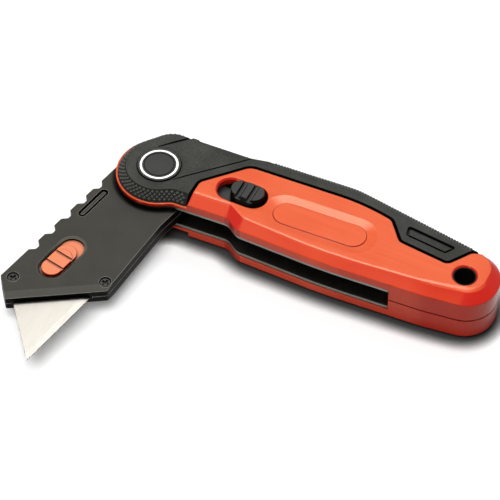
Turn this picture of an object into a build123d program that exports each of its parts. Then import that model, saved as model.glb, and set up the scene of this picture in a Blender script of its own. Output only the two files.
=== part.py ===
from build123d import *
import os
from math import cos, radians, sin, tan

# A folding utility knife, modelled half open with its head swung out of the handle.
# The handle lies on its back face, which is z = 0. The pivot axis is the z axis, +X runs
# from the pivot to the lanyard hole, and +Y points to the spine of the handle.
# Sizes are in millimetres and angles in degrees.

# Stack of plates through the handle.
handle_thickness = 16.5
head_thickness = 5.4
side_gap = 0.3
washer_thickness = 0.26
liner_thickness = 1.1
shell_skin = 1.05
bevel_drop = 1.6

# Outline of the handle: a round end about the pivot, a finger dip, a belly, a tail, a spine.
end_radius = 12.5
end_lean = 39.3
neck_turn = 30.0
neck_y = -9.45
neck_round = 3.0
dip_x = 26.0
dip_y = -8.7
hip_x = 29.9
hip_y = -11.4
hip_round = 4.0
belly_x = 56.0
belly_y = -12.0
belly_round = 160.0
rump_x = 86.0
rump_y = -10.5
rump_round = 80.0
tail_x = 104.25
tail_low_y = -8.3
tail_high_y = 8.7
tail_round = 9.2
hump_x = 55.0
hump_y = 16.75
hump_round = 30.0
hump_start_x = 27.3
hump_start_y = 15.5
waist_x = 22.2
waist_y = 14.05
waist_round = 3.5
waist_bevel = 1.4
waist_bevel_drop = 0.82
step_x = 6.1
step_y = 13.6
step_height = 1.1
crown_y = 14.5
crown_round = 7.8
crown_share = 0.6
seam_depth = 0.35
seam_half = 0.15

# Bevel of the orange face along the belly and the tail, as widths seen from above.
dip_bevel = 4.1
belly_bevel = 2.8
rump_bevel = 3.9
hip_bevel = 3.7
tail_bevel = 4.0
tail_low_bevel = 4.9
tail_high_bevel = 2.0
tail_end_bevel = 1.0
dip_face_shift = 1.0
hip_face_shift = 0.5
hip_face_round = 1.5
tail_face_round = 5.0
# Steps of the bevel from its foot to the face: share of the width, share of the height.
bevel_steps = [(0.0, 0.0), (0.78, 0.8), (0.96, 0.95), (1.12, 1.0)]

# Line between the orange face and the rubber grip.
grip_edge_x = 13.6
grip_nose_y = -1.1
grip_shoulder_x = 24.2
grip_shoulder_y = 10.2
grip_shoulder_round = 4.0
grip_ridge_x = 58.5
grip_ridge_y = 11.5
grip_ridge_round = 60.0
grip_drop_x = 68.2
grip_drop_y = 9.5
grip_valley_x = 73.3
grip_valley_y = 3.2
grip_heel_x = 88.7
grip_heel_y = 1.5
grip_end_x = 93.4
grip_end_y = 8.3
grip_round = 2.5
grip_groove = 1.0
grip_ledge = 0.5
band_width = 3.0
spine_round = 2.0
round_facets = 5
strip_half = 6.7
strip_angle = 45.0
strip_depth = 0.15
strip_end_inset = 2.2
strip_line_start = 2.0
strip_line_width = 0.6
strip_line_depth = 0.5
collar_radius = 9.2
collar_depth = 0.4
pocket_depth = 0.9
pocket_start_x = 73.3
pocket_end_x = 88.9
pocket_inset = 3.1
pocket_width = 3.6
pocket_slant = 2.4
pocket_round = 0.8
pocket_gap = 0.85
pocket_island_sink = 0.3

# Label field, bare, and the lanyard hole.
label_x = 50.7
label_y = -0.4
label_tilt = 2.0
label_field_length = 34.0
label_field_width = 13.0
label_pad_length = 28.0
label_pad_width = 8.0
label_depth = 0.6
label_pad_rise = 0.3
label_pad_slope = 27.5
lanyard_x = 94.5
lanyard_radius = 2.95
lanyard_chamfer = 0.4
bush_wall = 0.3
bush_sink = 0.45

# Channel that the head folds into.
channel_end_x = 76.6
liner_end_gap = 0.2
liner_inset = 0.25
channel_clearance = 0.6
nose_room_before = 8.0
nose_room_after = 3.0
tip_room = 2.2
throat_room_x = 25.8
spacer_front_x = 3.2

# Pivot.
barrel_radius = 3.8
barrel_bore = 2.0
barrel_end_gap = 0.05
fit_clearance = 0.03
running_clearance = 0.05
pivot_flange_radius = 4.8
pivot_flange_height = 1.1
washer_radius = 5.6
cap_radius = 6.2
cap_clearance = 0.25
ring_radius = 5.6
ring_width = 0.7
ring_depth = 0.5
ring_sink = 0.05
cap_line_radius = 4.45
cap_line_width = 0.35
cap_line_depth = 0.3

# Lock.
slot_start_x = 18.7
slot_length = 14.7
slot_width = 7.8
slot_y = 0.5
slot_chamfer = 0.5
slider_length = 10.4
slider_clearance = 0.25
slider_rise = 2.0
slider_top_width = 5.8
slider_top_length = 9.7
slider_flange = 1.0
slider_flange_height = 0.65
slider_foot_radius = 1.1
lock_travel = 4.0
rib_groove = 1.7
rib_depth = 1.2
rib_ridge = 0.4
rib_ridge_shift = 0.35
rib_ridge_height = 0.9
lock_plate_thickness = 0.8
lock_plate_width = 5.2
lock_plate_front_x = 6.9
lock_plate_rear_x = 37.0
lock_gap = 0.1
tooth_radius = 1.0
track_radius = 8.7
track_depth = 0.9
track_clearance = 0.3
notch_radius = 6.1
spring_length = 8.0
spring_width = 4.0
spring_strip = 0.4
spring_waves = 4

# Head, in its own frame: +X along the head from the pivot, +Y to its cutting edge.
head_angle = -101.0
open_angle = -180.0
closed_angle = -3.0
tang_radius = 7.5
tang_spine_y = -12.4
nose_spine_x = 55.4
nose_spine_y = -12.8
nose_tip_x = 60.7
nose_tip_y = -6.7
nose_belly_x = 41.6
nose_belly_y = 14.1
cheek_x = 38.6
cheek_y = 13.8
throat_x = 14.0
throat_y = 11.5
shoulder_flare = 0.4
head_edge_round = 1.0
nose_tip_round = 0.5
cheek_round = 3.0
throat_round = 20.0
nose_chamfer_width = 2.2
nose_chamfer_drop = 0.6
nose_chamfer_past = 0.2
jimp_count = 5
jimp_start = 13.05
jimp_pitch = 7.05
jimp_width = 3.4
jimp_floor = 1.4
jimp_round = 0.62
jimp_depth = 1.25
flute_start = 13.0
flute_end = 25.2
flute_y = -9.05
flute_width = 2.5
flute_depth = 0.7
flute_gap = 0.75
flute_island_sink = 0.15

# Stop pin.
stop_reach = 9.5
stop_radius = 1.4
stop_clearance = 0.1

# Blade, a standard trapezoid utility blade.
blade_thickness = 0.6
blade_length = 61.5
blade_width = 19.0
blade_end_angle = 50.5
blade_tip_x = 72.4
blade_edge_y = 10.8
blade_grind = 1.8
blade_edge_flat = 0.04
blade_notch_width = 3.2
blade_notch_depth = 2.3
blade_notch_spacing = 12.7
blade_clearance = 0.25
blade_face_gap = 0.05

# Blade release.
release_x = 40.0
release_y = -3.35
release_recess_length = 17.1
release_recess_width = 8.4
release_recess_depth = 0.35
release_recess_slope = 58.0
release_window_length = 15.9
release_window_width = 7.2
release_travel = 2.6
release_rise = 0.2
release_edge_slope = 25.0
release_thumb_gap = 0.6
release_thumb_plate = 0.3
release_stem_width = 4.4
release_skin = 0.5
release_gap = 0.1
release_flange_edge = 0.25
release_flange_height = 0.65
release_groove_width = 0.8
release_groove_depth = 0.4
release_groove_pitch = 4.1
release_crescent = 2.0
release_crescent_depth = 0.2
catch_width = 2.6
catch_length = 2.4
catch_bite = 0.8
catch_height = 0.7
catch_gap = 0.15
catch_lift = 0.75
release_spring_length = 7.0
release_spring_width = 2.2

# Screws.
nose_screw_radius = 1.45
nose_screw_recess = 1.75
nose_screw_sink = 0.35
nose_screw_height = 0.9
nose_screw_shank = 0.75
nose_screw_floor = 0.6
nose_screw_spine_margin = 1.8
nose_screw_belly_margin = 1.95
nose_screw_back_gap = 1.5
nose_screw_edge_gap = 1.15
cross_length = 2.2
cross_width = 0.7
cross_depth = 0.6
handle_screw_radius = 1.5
handle_screw_height = 1.0
handle_screw_shank = 0.8
handle_screw_bite = 0.6
screw_clearance = 0.2
spine_screw_margin = 2.5
spine_screw_a_x = 27.0
spine_screw_b_x = 60.0
tail_screw_x = 83.0
tail_screw_y = -4.5

# How far a cut runs past the face that it opens.
over = 1.0

# Levels and places that follow from the sizes above.
mid_z = handle_thickness / 2
mid_plane = Plane.XY.offset(mid_z)
head_top = mid_z + head_thickness / 2
head_low = mid_z - head_thickness / 2
liner_low = head_top + side_gap
liner_top = liner_low + liner_thickness
skin_top = liner_top + shell_skin
bevel_z = handle_thickness - bevel_drop
plate_low = liner_top + lock_gap
plate_top = plate_low + lock_plate_thickness
flange_low = plate_top + lock_gap
flange_top = flange_low + slider_flange_height
track_floor = head_top - track_depth
nose_screw_seat = head_top - nose_screw_sink - nose_screw_height
blade_low = mid_z - blade_thickness / 2
blade_top = mid_z + blade_thickness / 2
slider_width = slot_width - 2 * slider_clearance
slider_x = slot_start_x + slot_length - slider_clearance - slider_length / 2
release_floor = head_top - release_recess_depth
release_ceiling = release_floor - release_skin
release_flange_top = release_ceiling - release_gap
release_flange_low = release_flange_top - release_flange_height
release_flange_width = release_window_width + 2 * release_flange_edge
release_thumb_length = release_window_length - release_travel - 2 * release_thumb_gap
release_thumb_width = release_window_width - 2 * release_thumb_gap
release_thumb_x = release_x + release_window_length / 2 - release_thumb_gap - release_thumb_length / 2
blade_back_y = blade_edge_y - blade_width
blade_end_run = blade_width / tan(radians(blade_end_angle))
blade_heel_x = blade_tip_x - blade_length
blade_mid_x = blade_tip_x - blade_length / 2
blade_notch_x = blade_mid_x - blade_notch_spacing / 2
catch_x = blade_notch_x


def rounded(corners, z=0.0):
    """A closed face through (x, y, corner radius) corners, at height z."""
    points = [(x, y) for x, y, _ in corners]
    radii = [radius for _, _, radius in corners]
    return Pos(0, 0, z) * make_face(FilletPolyline(*points, radius=radii, close=True))


def prism(face, low, high):
    """A face drawn at z = 0, raised into a solid from low to high."""
    return extrude(Pos(0, 0, low) * face, amount=high - low, dir=(0, 0, 1))


def disc(radius, low, high, x=0.0, y=0.0):
    return prism(Pos(x, y) * Circle(radius), low, high)


def stadium(length, width, x=0.0, y=0.0, tilt=0.0):
    return Pos(x, y) * Rot(0, 0, tilt) * SlotOverall(length, width)


def block(x0, x1, y0, y1, low, high):
    middle = Pos((x0 + x1) / 2, (y0 + y1) / 2, (low + high) / 2)
    return middle * Box(x1 - x0, y1 - y0, high - low)


def to_back(solid):
    """The same piece on the back half of the knife."""
    return mirror(solid, about=mid_plane)


def swing(solid, angle=head_angle):
    """Turns a piece drawn in the head's frame to where the head points."""
    return Rot(0, 0, angle) * solid


def swung_point(x, y, angle):
    a = radians(angle)
    return x * cos(a) - y * sin(a), x * sin(a) + y * cos(a)


def belly_corners():
    return [
        (dip_x, dip_y, hip_round),
        (hip_x, hip_y, hip_round),
        (belly_x, belly_y, belly_round),
        (rump_x, rump_y, rump_round),
        (tail_x, tail_low_y, tail_round),
        (tail_x, tail_high_y, tail_round),
    ]


def spine_y(x):
    """Height of the straight spine between the hump and the tail."""
    return hump_y + (tail_high_y - hump_y) * (x - hump_x) / (tail_x - hump_x)


def dip_line_y(x):
    return neck_y + (dip_y - neck_y) * (x - neck_x()) / (dip_x - neck_x())


def polar(radius, angle):
    return radius * cos(radians(angle)), radius * sin(radians(angle))


def neck_x(inset=0.0):
    """Where the tangent that leaves the round end meets the finger dip."""
    start_x, start_y = polar(end_radius - inset, neck_turn - 90)
    return start_x + (neck_y + inset - start_y) / tan(radians(neck_turn))


def closed_by_round_end(corners, inset=0.0, z=0.0):
    """A face whose near end is the round end, with the given corners from the dip to the step."""
    start = polar(end_radius - inset, neck_turn - 90)
    finish = polar(end_radius - inset, 180 - end_lean)
    middle = polar(end_radius - inset, (neck_turn - end_lean) / 2 - 135)
    crown_inset = inset * crown_share
    crown_x = finish[0] + (crown_y - crown_inset - finish[1]) * tan(radians(end_lean))
    bends = [(neck_x(inset), neck_y + inset, neck_round + inset)] + corners
    bends += [(crown_x, crown_y - crown_inset, crown_round - crown_inset)]
    points = [start] + [(x, y) for x, y, _ in bends] + [finish]
    run = FilletPolyline(*points, radius=[radius for _, _, radius in bends])
    return Pos(0, 0, z) * make_face(run + ThreePointArc(finish, middle, start))


def handle_outline():
    spine = [
        (hump_x, hump_y, hump_round),
        (hump_start_x, hump_start_y, waist_round),
        (waist_x, waist_y, waist_round),
        (step_x, step_y, 0),
        (step_x, step_y + step_height, 0),
    ]
    return closed_by_round_end(belly_corners() + spine)


def band_outline(inset, z):
    """The round end alone, closed off square behind the pivot."""
    top = step_y + step_height - inset * crown_share
    return closed_by_round_end([(dip_x, dip_y + inset, 0), (dip_x, top, 0), (step_x, top, 0)], inset, z)


def grip_edge_corners():
    """The edge of the orange face beside the grip, from the tail to the pivot."""
    return [
        (grip_end_x, grip_end_y, grip_round),
        (grip_heel_x, grip_heel_y, grip_round),
        (grip_valley_x, grip_valley_y, grip_round),
        (grip_drop_x, grip_drop_y, grip_round),
        (grip_ridge_x, grip_ridge_y, grip_ridge_round),
        (grip_shoulder_x, grip_shoulder_y, grip_shoulder_round),
        (grip_edge_x, grip_nose_y, grip_round),
    ]


def foot_corners():
    """Plan of the orange block beside the grip, below its bevel."""
    tail_end_x = grip_end_x + grip_round
    corners = [(grip_edge_x, dip_line_y(grip_edge_x), 0)] + belly_corners()
    return corners + [(tail_end_x, spine_y(tail_end_x), 0)] + grip_edge_corners()


def face_corners():
    """Plan of the orange face above the bevel, corner for corner like its foot."""
    tail_end_x = grip_end_x + grip_round
    corners = [
        (grip_edge_x, dip_line_y(grip_edge_x) + dip_bevel, 0),
        (dip_x - dip_face_shift, dip_y + dip_bevel, hip_face_round),
        (hip_x + hip_face_shift, hip_y + hip_bevel, hip_face_round),
        (belly_x, belly_y + belly_bevel, belly_round),
        (rump_x, rump_y + rump_bevel, rump_round),
        (tail_x - tail_bevel, tail_low_y + tail_low_bevel, tail_face_round),
        (tail_x - tail_bevel, tail_high_y - tail_high_bevel, tail_face_round),
        (tail_end_x, spine_y(tail_end_x) - tail_end_bevel, 0),
    ]
    return corners + grip_edge_corners()


def raised_section(share, rise):
    """Plan of the orange block part of the way from its foot to its face."""
    corners = []
    for low, high in zip(foot_corners(), face_corners()):
        corners.append(tuple(a + (b - a) * share for a, b in zip(low, high)))
    return rounded(corners, bevel_z + bevel_drop * rise)


def shell_blank():
    """One orange shell with its bevel, its label field and its half of the tail."""
    outline = handle_outline()
    foot = rounded(foot_corners())
    blank = prism(outline, liner_top, skin_top)
    blank += prism(foot, skin_top, bevel_z)
    blank += loft([raised_section(*step) for step in bevel_steps], ruled=True)
    tail = block(channel_end_x, tail_x + over, belly_y - over, hump_y, mid_z, liner_top)
    blank += prism(outline, mid_z, liner_top) & tail
    blank -= prism(outline - offset(outline, -seam_depth), mid_z - over, mid_z + seam_half)
    field = stadium(label_field_length, label_field_width, label_x, label_y, label_tilt)
    pad = stadium(label_pad_length, label_pad_width, label_x, label_y, label_tilt)
    pad_foot = Pos(0, 0, handle_thickness - label_depth) * pad
    dish = loft([Pos(0, 0, handle_thickness) * field, pad_foot], ruled=True)
    blank -= dish - extrude(pad_foot, amount=label_pad_rise, taper=label_pad_slope)
    hole = lanyard_radius + bush_wall + fit_clearance
    blank -= disc(hole, mid_z - over, handle_thickness + over, lanyard_x)
    rim = Pos(lanyard_x, 0, handle_thickness - lanyard_chamfer / 2)
    blank -= rim * Cone(hole, hole + lanyard_chamfer, lanyard_chamfer)
    blank -= disc(barrel_radius + fit_clearance, liner_top - over, skin_top + over)
    return blank


def front_shell():
    shell = shell_blank()
    slot = stadium(slot_length, slot_width, slot_start_x + slot_length / 2, slot_y)
    shell -= prism(slot, liner_top - over, handle_thickness + over)
    rim = Pos(0, 0, handle_thickness) * offset(slot, slot_chamfer)
    shell -= extrude(rim, amount=-slot_chamfer, taper=45)
    flange_room = slider_flange + slider_clearance
    pocket = stadium(
        slot_length + 2 * flange_room, slot_width + 2 * flange_room, slot_start_x + slot_length / 2, slot_y
    )
    shell -= prism(pocket, liner_top - over, flange_top + lock_gap)
    plate_half = lock_plate_width / 2 + lock_gap
    spring_end = lock_plate_rear_x + spring_length + lock_gap
    shell -= block(
        lock_plate_front_x - lock_gap, spring_end, slot_y - plate_half, slot_y + plate_half,
        liner_top - over, plate_top + lock_gap,
    )
    for x, y in handle_screw_places():
        shell -= disc(handle_screw_shank + fit_clearance, mid_z - over, liner_top + handle_screw_bite, x, y)
    return shell


def back_shell():
    shell = to_back(shell_blank())
    seat = to_back_z(skin_top)
    for x, y in handle_screw_places():
        shell -= disc(handle_screw_shank + fit_clearance, -over, mid_z + over, x, y)
        shell -= disc(handle_screw_radius + screw_clearance, -over, seat, x, y)
    return shell


def to_back_z(z):
    return handle_thickness - z


def grip_blank():
    """The rubber over the round end and the spine, with its slanted band at the round end."""
    outline = handle_outline()
    face_gap = offset(rounded(foot_corners()), grip_groove)
    grip = prism(outline - face_gap, skin_top, handle_thickness)
    slant = band_slope(band_width) + (band_slope(strip_end_inset) & strip_block(skin_top))
    band_zone = block(-2 * end_radius, step_x, 0, 2 * end_radius, skin_top, handle_thickness + over)
    band_zone += block(-2 * end_radius, grip_edge_x, -2 * end_radius, 0, skin_top, handle_thickness + over)
    grip -= band_zone - slant
    hole = cap_radius + cap_clearance
    grip -= disc(hole, skin_top - over, handle_thickness + over)
    grip -= Pos(0, 0, handle_thickness - collar_depth / 2) * Cone(hole, collar_radius, collar_depth)
    grip -= strip_block(handle_thickness - strip_depth) + strip_lines()
    spine_zone = block(step_x, 2 * tail_x, -end_radius, 2 * hump_y, skin_top, handle_thickness + over)
    return grip - (spine_zone - spine_dome())


def band_slope(inset):
    """The slanted wall of the round end, which leans in by an inset up to the face."""
    return loft([band_outline(grip_ledge, skin_top), band_outline(inset, handle_thickness)], ruled=True)


def strip_block(low):
    """The strip that runs from round the cap to the spine, from a level up past the face."""
    length = 2 * (hump_y + strip_half)
    strip = Rot(0, 0, strip_angle) * stadium(length, 2 * strip_half, length / 2 - strip_half)
    return prism(strip, low, handle_thickness + over)


def strip_lines():
    """A thin groove along each side of the strip."""
    low = handle_thickness - strip_line_depth
    half = strip_line_width / 2
    lines = []
    for y in (-strip_half, strip_half):
        line = block(strip_line_start, 2 * hump_y, y - half, y + half, low, handle_thickness + over)
        lines.append(Rot(0, 0, strip_angle) * line)
    return lines[0] + lines[1]


def spine_section(inset, z):
    """Everything on the belly side of the spine, behind the step, moved in by an inset.

    From the step to the waist the spine has a flat bevel in place of the rounding."""
    far_x = tail_x + tail_round
    bevel_rise = z - handle_thickness + waist_bevel_drop
    bevel_inset = max(0.0, waist_bevel * bevel_rise / waist_bevel_drop)
    corners = [
        (step_x, -2 * end_radius, 0),
        (far_x, -2 * end_radius, 0),
        (far_x, spine_y(far_x) - inset, 0),
        (hump_x, hump_y - inset, hump_round),
        (hump_start_x, hump_start_y - inset, waist_round),
        (waist_x, waist_y - bevel_inset, waist_round),
        (step_x, step_y - bevel_inset, 0),
    ]
    return rounded(corners, z)


def spine_dome():
    """The spine of the grip rounded over by a quarter circle, in straight facets."""
    sections = [spine_section(0, skin_top)]
    for facet in range(round_facets + 1):
        angle = radians(90 * facet / round_facets)
        inset = spine_round * (1 - cos(angle))
        sections.append(spine_section(inset, handle_thickness - spine_round * (1 - sin(angle))))
    return loft(sections, ruled=True)


def grip_pocket():
    """The slanted pocket near the tail of the grip, a moat round a plain island."""
    low_start = pocket_start_x + pocket_round
    low_end = pocket_end_x - pocket_slant
    rise = pocket_inset + pocket_width
    corners = [
        (low_start, grip_edge_y(low_start) + pocket_inset, pocket_round),
        (low_end, grip_edge_y(low_end) + pocket_inset, pocket_round),
        (pocket_end_x, grip_edge_y(pocket_end_x) + rise, pocket_round),
        (pocket_start_x, grip_edge_y(pocket_start_x) + rise, pocket_round),
    ]
    return moat(rounded(corners), handle_thickness, pocket_depth, pocket_gap, pocket_island_sink)


def moat(plan, face_z, depth, gap, island_sink):
    """A recess in a face at face_z, with an island in it that a gap parts from the wall."""
    recess = prism(plan, face_z - depth, face_z + over)
    return recess - prism(offset(plan, -gap), face_z - depth, face_z - island_sink)


def grip_edge_y(x):
    share = (x - grip_valley_x) / (grip_heel_x - grip_valley_x)
    return grip_valley_y + (grip_heel_y - grip_valley_y) * share


def front_grip():
    return grip_blank() - grip_pocket()


def back_grip():
    grip = to_back(grip_blank() - grip_pocket())
    for x, y in handle_screw_places():
        grip -= disc(handle_screw_radius + screw_clearance, -over, mid_z, x, y)
    return grip


def handle_screw_places():
    return [
        (spine_screw_a_x, spine_screw_y(spine_screw_a_x)),
        (spine_screw_b_x, spine_screw_y(spine_screw_b_x)),
        (tail_screw_x, tail_screw_y),
    ]


def spine_outer_y(x):
    """Outer edge of the spine from the start of the hump to the tail."""
    if x > hump_x:
        return spine_y(x)
    return hump_start_y + (hump_y - hump_start_y) * (x - hump_start_x) / (hump_x - hump_start_x)


def spine_screw_y(x):
    return spine_outer_y(x) - spine_screw_margin


def channel_corners():
    """Room for the folded head, from its shape when closed and a clearance."""
    nose_x, nose_y = swung_point(nose_belly_x, nose_belly_y, closed_angle)
    tip_y = swung_point(blade_tip_x, blade_edge_y, closed_angle)[1]
    throat_top = swung_point(throat_x, throat_y, closed_angle)[1]
    shoulder_top = swung_point(shoulder_x(closed_angle), shoulder_y(), closed_angle)[1]
    return [
        (spacer_front_x, shoulder_top + channel_clearance),
        (throat_room_x, throat_top + channel_clearance),
        (nose_x - nose_room_before, nose_y + channel_clearance),
        (nose_x + nose_room_after, nose_y + channel_clearance),
        (channel_end_x, tip_y + tip_room),
    ]


def spine_spacer():
    wall = channel_corners()
    end_x = channel_end_x - liner_end_gap
    room = wall + [(channel_end_x, 2 * hump_y), (spacer_front_x, 2 * hump_y)]
    plan = offset(handle_outline(), -liner_inset) & make_face(Polyline(*room, close=True))
    spacer = prism(plan, to_back_z(liner_low), liner_low)
    spacer &= block(spacer_front_x, end_x, 0, 2 * hump_y, 0, handle_thickness)
    for x, y in handle_screw_places():
        spacer -= disc(handle_screw_shank + fit_clearance, 0, handle_thickness, x, y)
    return spacer


def liner_blank():
    plan = offset(handle_outline(), -liner_inset)
    end_x = channel_end_x - liner_end_gap
    liner = prism(plan, liner_low, liner_top)
    liner &= block(-2 * end_radius, end_x, -2 * hump_y, 2 * hump_y, 0, handle_thickness)
    liner -= disc(barrel_radius + fit_clearance, 0, handle_thickness)
    liner -= disc(stop_radius + fit_clearance, 0, handle_thickness, 0, stop_reach)
    for x, y in handle_screw_places():
        liner -= disc(handle_screw_shank + fit_clearance, 0, handle_thickness, x, y)
    return liner


def front_liner():
    tooth_room = tooth_radius + track_clearance
    start_x = notch_radius - tooth_radius / 2
    slit = block(start_x, track_radius + tooth_room, -tooth_room, tooth_room, 0, handle_thickness)
    return liner_blank() - slit


def back_liner():
    return to_back(liner_blank())


def lanyard_bush():
    """A tube through the tail that a lanyard runs in."""
    low = to_back_z(handle_thickness - bush_sink)
    tube = disc(lanyard_radius + bush_wall, low, handle_thickness - bush_sink, lanyard_x)
    return tube - disc(lanyard_radius, 0, handle_thickness, lanyard_x)


def pivot_barrel():
    low = to_back_z(skin_top)
    barrel = disc(barrel_radius, low, skin_top - barrel_end_gap)
    barrel += disc(pivot_flange_radius, low - pivot_flange_height, low)
    return barrel - disc(barrel_bore, 0, handle_thickness)


def pivot_screw():
    screw = disc(pivot_flange_radius, skin_top, skin_top + pivot_flange_height)
    screw += disc(barrel_bore - fit_clearance, to_back_z(skin_top), skin_top)
    return screw


def cap_blank():
    cap = disc(cap_radius, skin_top, handle_thickness)
    room = skin_top + pivot_flange_height + lock_gap
    cap -= disc(pivot_flange_radius + cap_clearance, skin_top - over, room)
    groove = Circle(ring_radius) - Circle(ring_radius - ring_width)
    cap -= prism(groove, handle_thickness - ring_depth, handle_thickness + over)
    line = Circle(cap_line_radius) - Circle(cap_line_radius - cap_line_width)
    return cap - prism(line, handle_thickness - cap_line_depth, handle_thickness + over)


def ring_blank():
    hoop = Circle(ring_radius - fit_clearance) - Circle(ring_radius - ring_width + fit_clearance)
    return prism(hoop, handle_thickness - ring_depth, handle_thickness - ring_sink)


def pivot_washers():
    plan = Circle(washer_radius) - Circle(barrel_radius + running_clearance)
    front = prism(plan, liner_low - washer_thickness, liner_low)
    return Compound(children=[front.solid(), to_back(front).solid()])


def stop_pin():
    return disc(stop_radius, to_back_z(liner_top), liner_top, 0, stop_reach)


def lock_plate():
    half = lock_plate_width / 2
    plate = block(lock_plate_front_x, lock_plate_rear_x, slot_y - half, slot_y + half, plate_low, plate_top)
    foot_room = slider_foot_radius + slider_clearance
    slit_x = slider_x - lock_travel / 2
    slit = stadium(lock_travel + 2 * foot_room, 2 * foot_room, slit_x, slot_y)
    plate -= prism(slit, 0, handle_thickness)
    return plate + disc(tooth_radius, track_floor + track_clearance, plate_low, track_radius)


def wave(length, width, strip, waves, low, high):
    """A flat strip bent into waves along +X, as a spring, from x = 0 to its length."""
    step = length / (2 * waves)
    points = [(0, -width / 2)]
    for turn in range(waves):
        x = 2 * turn * step
        points += [(x, width / 2), (x + step, width / 2), (x + step, -width / 2)]
        points += [(x + 2 * step, -width / 2)]
    points += [(length, width / 2)]
    inner = Polyline(*points)
    return prism(trace(inner, line_width=strip), low, high)


def lock_spring():
    length = spring_length - spring_strip
    strip = wave(length, spring_width, spring_strip, spring_waves, plate_low, plate_top)
    return Pos(lock_plate_rear_x + spring_strip / 2, slot_y) * strip


def lock_slider():
    """The thumb slider: three pads with a thin ridge between each, a flange, and a foot."""
    rise_z = handle_thickness - slot_chamfer
    top_z = handle_thickness + slider_rise
    rib_floor = top_z - rib_depth
    plan = stadium(slider_length, slider_width)
    top_plan = stadium(slider_top_length, slider_top_width)
    slider = prism(plan, flange_low, rise_z)
    pads = loft([Pos(0, 0, rise_z) * plan, Pos(0, 0, top_z) * top_plan], ruled=True)
    for side in (-1, 1):
        x = side * slider_length / 6
        half = rib_groove / 2
        pads -= block(x - half, x + half, -slot_width, slot_width, rib_floor, top_z + over)
        ridge_x = x + rib_ridge_shift - rib_ridge / 2
        side_y = slider_top_width / 2
        ridge_top = rib_floor + rib_ridge_height
        pads += block(ridge_x, ridge_x + rib_ridge, -side_y, side_y, rib_floor, ridge_top)
    flange = stadium(slider_length + 2 * slider_flange, slider_width + 2 * slider_flange)
    slider += pads + prism(flange, flange_low, flange_top)
    slider += disc(slider_foot_radius, plate_low, flange_low)
    return Pos(slider_x, slot_y) * slider


def handle_screws():
    seat = to_back_z(skin_top)
    shank = disc(handle_screw_shank, seat, liner_top + handle_screw_bite - lock_gap)
    screw = shank + disc(handle_screw_radius, seat - handle_screw_height, seat)
    screw -= cross_recess(seat - handle_screw_height)
    return Compound(children=[(Pos(x, y) * screw).solid() for x, y in handle_screw_places()])


def cross_recess(face_z):
    """A cross cut into a screw's head, open on both sides of the level face_z."""
    bar = Box(cross_length, cross_width, 2 * cross_depth)
    return Pos(0, 0, face_z) * (bar + Rot(0, 0, 90) * bar)


def shoulder_x(angle):
    """How far out the tang's shoulder lies so that it meets the stop pin at this angle."""
    from_axis = radians(90 - angle)
    return stop_reach * cos(from_axis) + stop_radius + stop_clearance


def shoulder_y():
    return throat_y + shoulder_flare


def head_outline():
    corners = [
        (shoulder_x(open_angle + 360), tang_spine_y, head_edge_round),
        (nose_spine_x, nose_spine_y, head_edge_round),
        (nose_tip_x, nose_tip_y, nose_tip_round),
        (nose_belly_x, nose_belly_y, head_edge_round),
        (cheek_x, cheek_y, cheek_round),
        (throat_x, throat_y, throat_round),
        (shoulder_x(closed_angle), shoulder_y(), head_edge_round),
    ]
    return rounded(corners) + Circle(tang_radius)


def jimp():
    """One thumb notch, cut down from the spine of the head."""
    corners = [
        (-jimp_width / 2 - jimp_depth, tang_spine_y - jimp_depth, 0),
        (jimp_width / 2 + jimp_depth, tang_spine_y - jimp_depth, 0),
        (jimp_floor / 2, tang_spine_y + jimp_depth, jimp_round),
        (-jimp_floor / 2, tang_spine_y + jimp_depth, jimp_round),
    ]
    return rounded(corners)


def nose_wedge():
    """The sliver cut off the front edge of the nose, on the head's front face."""
    tip = Vector(nose_tip_x, nose_tip_y, head_top)
    run = Vector(nose_belly_x, nose_belly_y, head_top) - tip
    along = run.normalized()
    inward = Vector(-along.Y, along.X, 0)
    profile = Polyline(
        (-over, over), (nose_chamfer_width, over), (nose_chamfer_width, 0),
        (0, -nose_chamfer_drop), (-over, -nose_chamfer_drop), close=True,
    )
    section = Plane(origin=tip - run * nose_chamfer_past, x_dir=inward, z_dir=along)
    length = run.length * (1 + 2 * nose_chamfer_past)
    return extrude(section * make_face(profile), amount=length, dir=along)


def blade_plan(grow=0.0):
    slant = blade_end_run
    corners = [
        (blade_heel_x - grow, blade_edge_y + grow),
        (blade_tip_x + grow, blade_edge_y + grow),
        (blade_tip_x - slant + grow, blade_back_y - grow),
        (blade_heel_x + slant - grow, blade_back_y - grow),
    ]
    return make_face(Polyline(*corners, close=True))


def blade():
    half = blade_thickness / 2
    edge_half = blade_edge_flat / 2
    profile = [
        (blade_back_y, -half), (blade_edge_y - blade_grind, -half), (blade_edge_y, -edge_half),
        (blade_edge_y, edge_half), (blade_edge_y - blade_grind, half), (blade_back_y, half),
    ]
    section = Plane(origin=(blade_heel_x, 0, mid_z), x_dir=(0, 1, 0), z_dir=(1, 0, 0))
    bar = extrude(section * make_face(Polyline(*profile, close=True)), amount=blade_length)
    bar &= prism(blade_plan(), blade_low, blade_top)
    for side in (-1, 1):
        x = blade_mid_x + side * blade_notch_spacing / 2
        bar -= block(
            x - blade_notch_width / 2, x + blade_notch_width / 2, blade_back_y - over,
            blade_back_y + blade_notch_depth, 0, handle_thickness,
        )
    return bar


def nose_screw_places():
    """Just outside the blade, at the spine and at the belly of the nose."""
    return [
        (nose_spine_x - nose_screw_spine_margin, blade_back_y - nose_screw_back_gap),
        (nose_belly_x - nose_screw_belly_margin, blade_edge_y + nose_screw_edge_gap),
    ]


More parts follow.
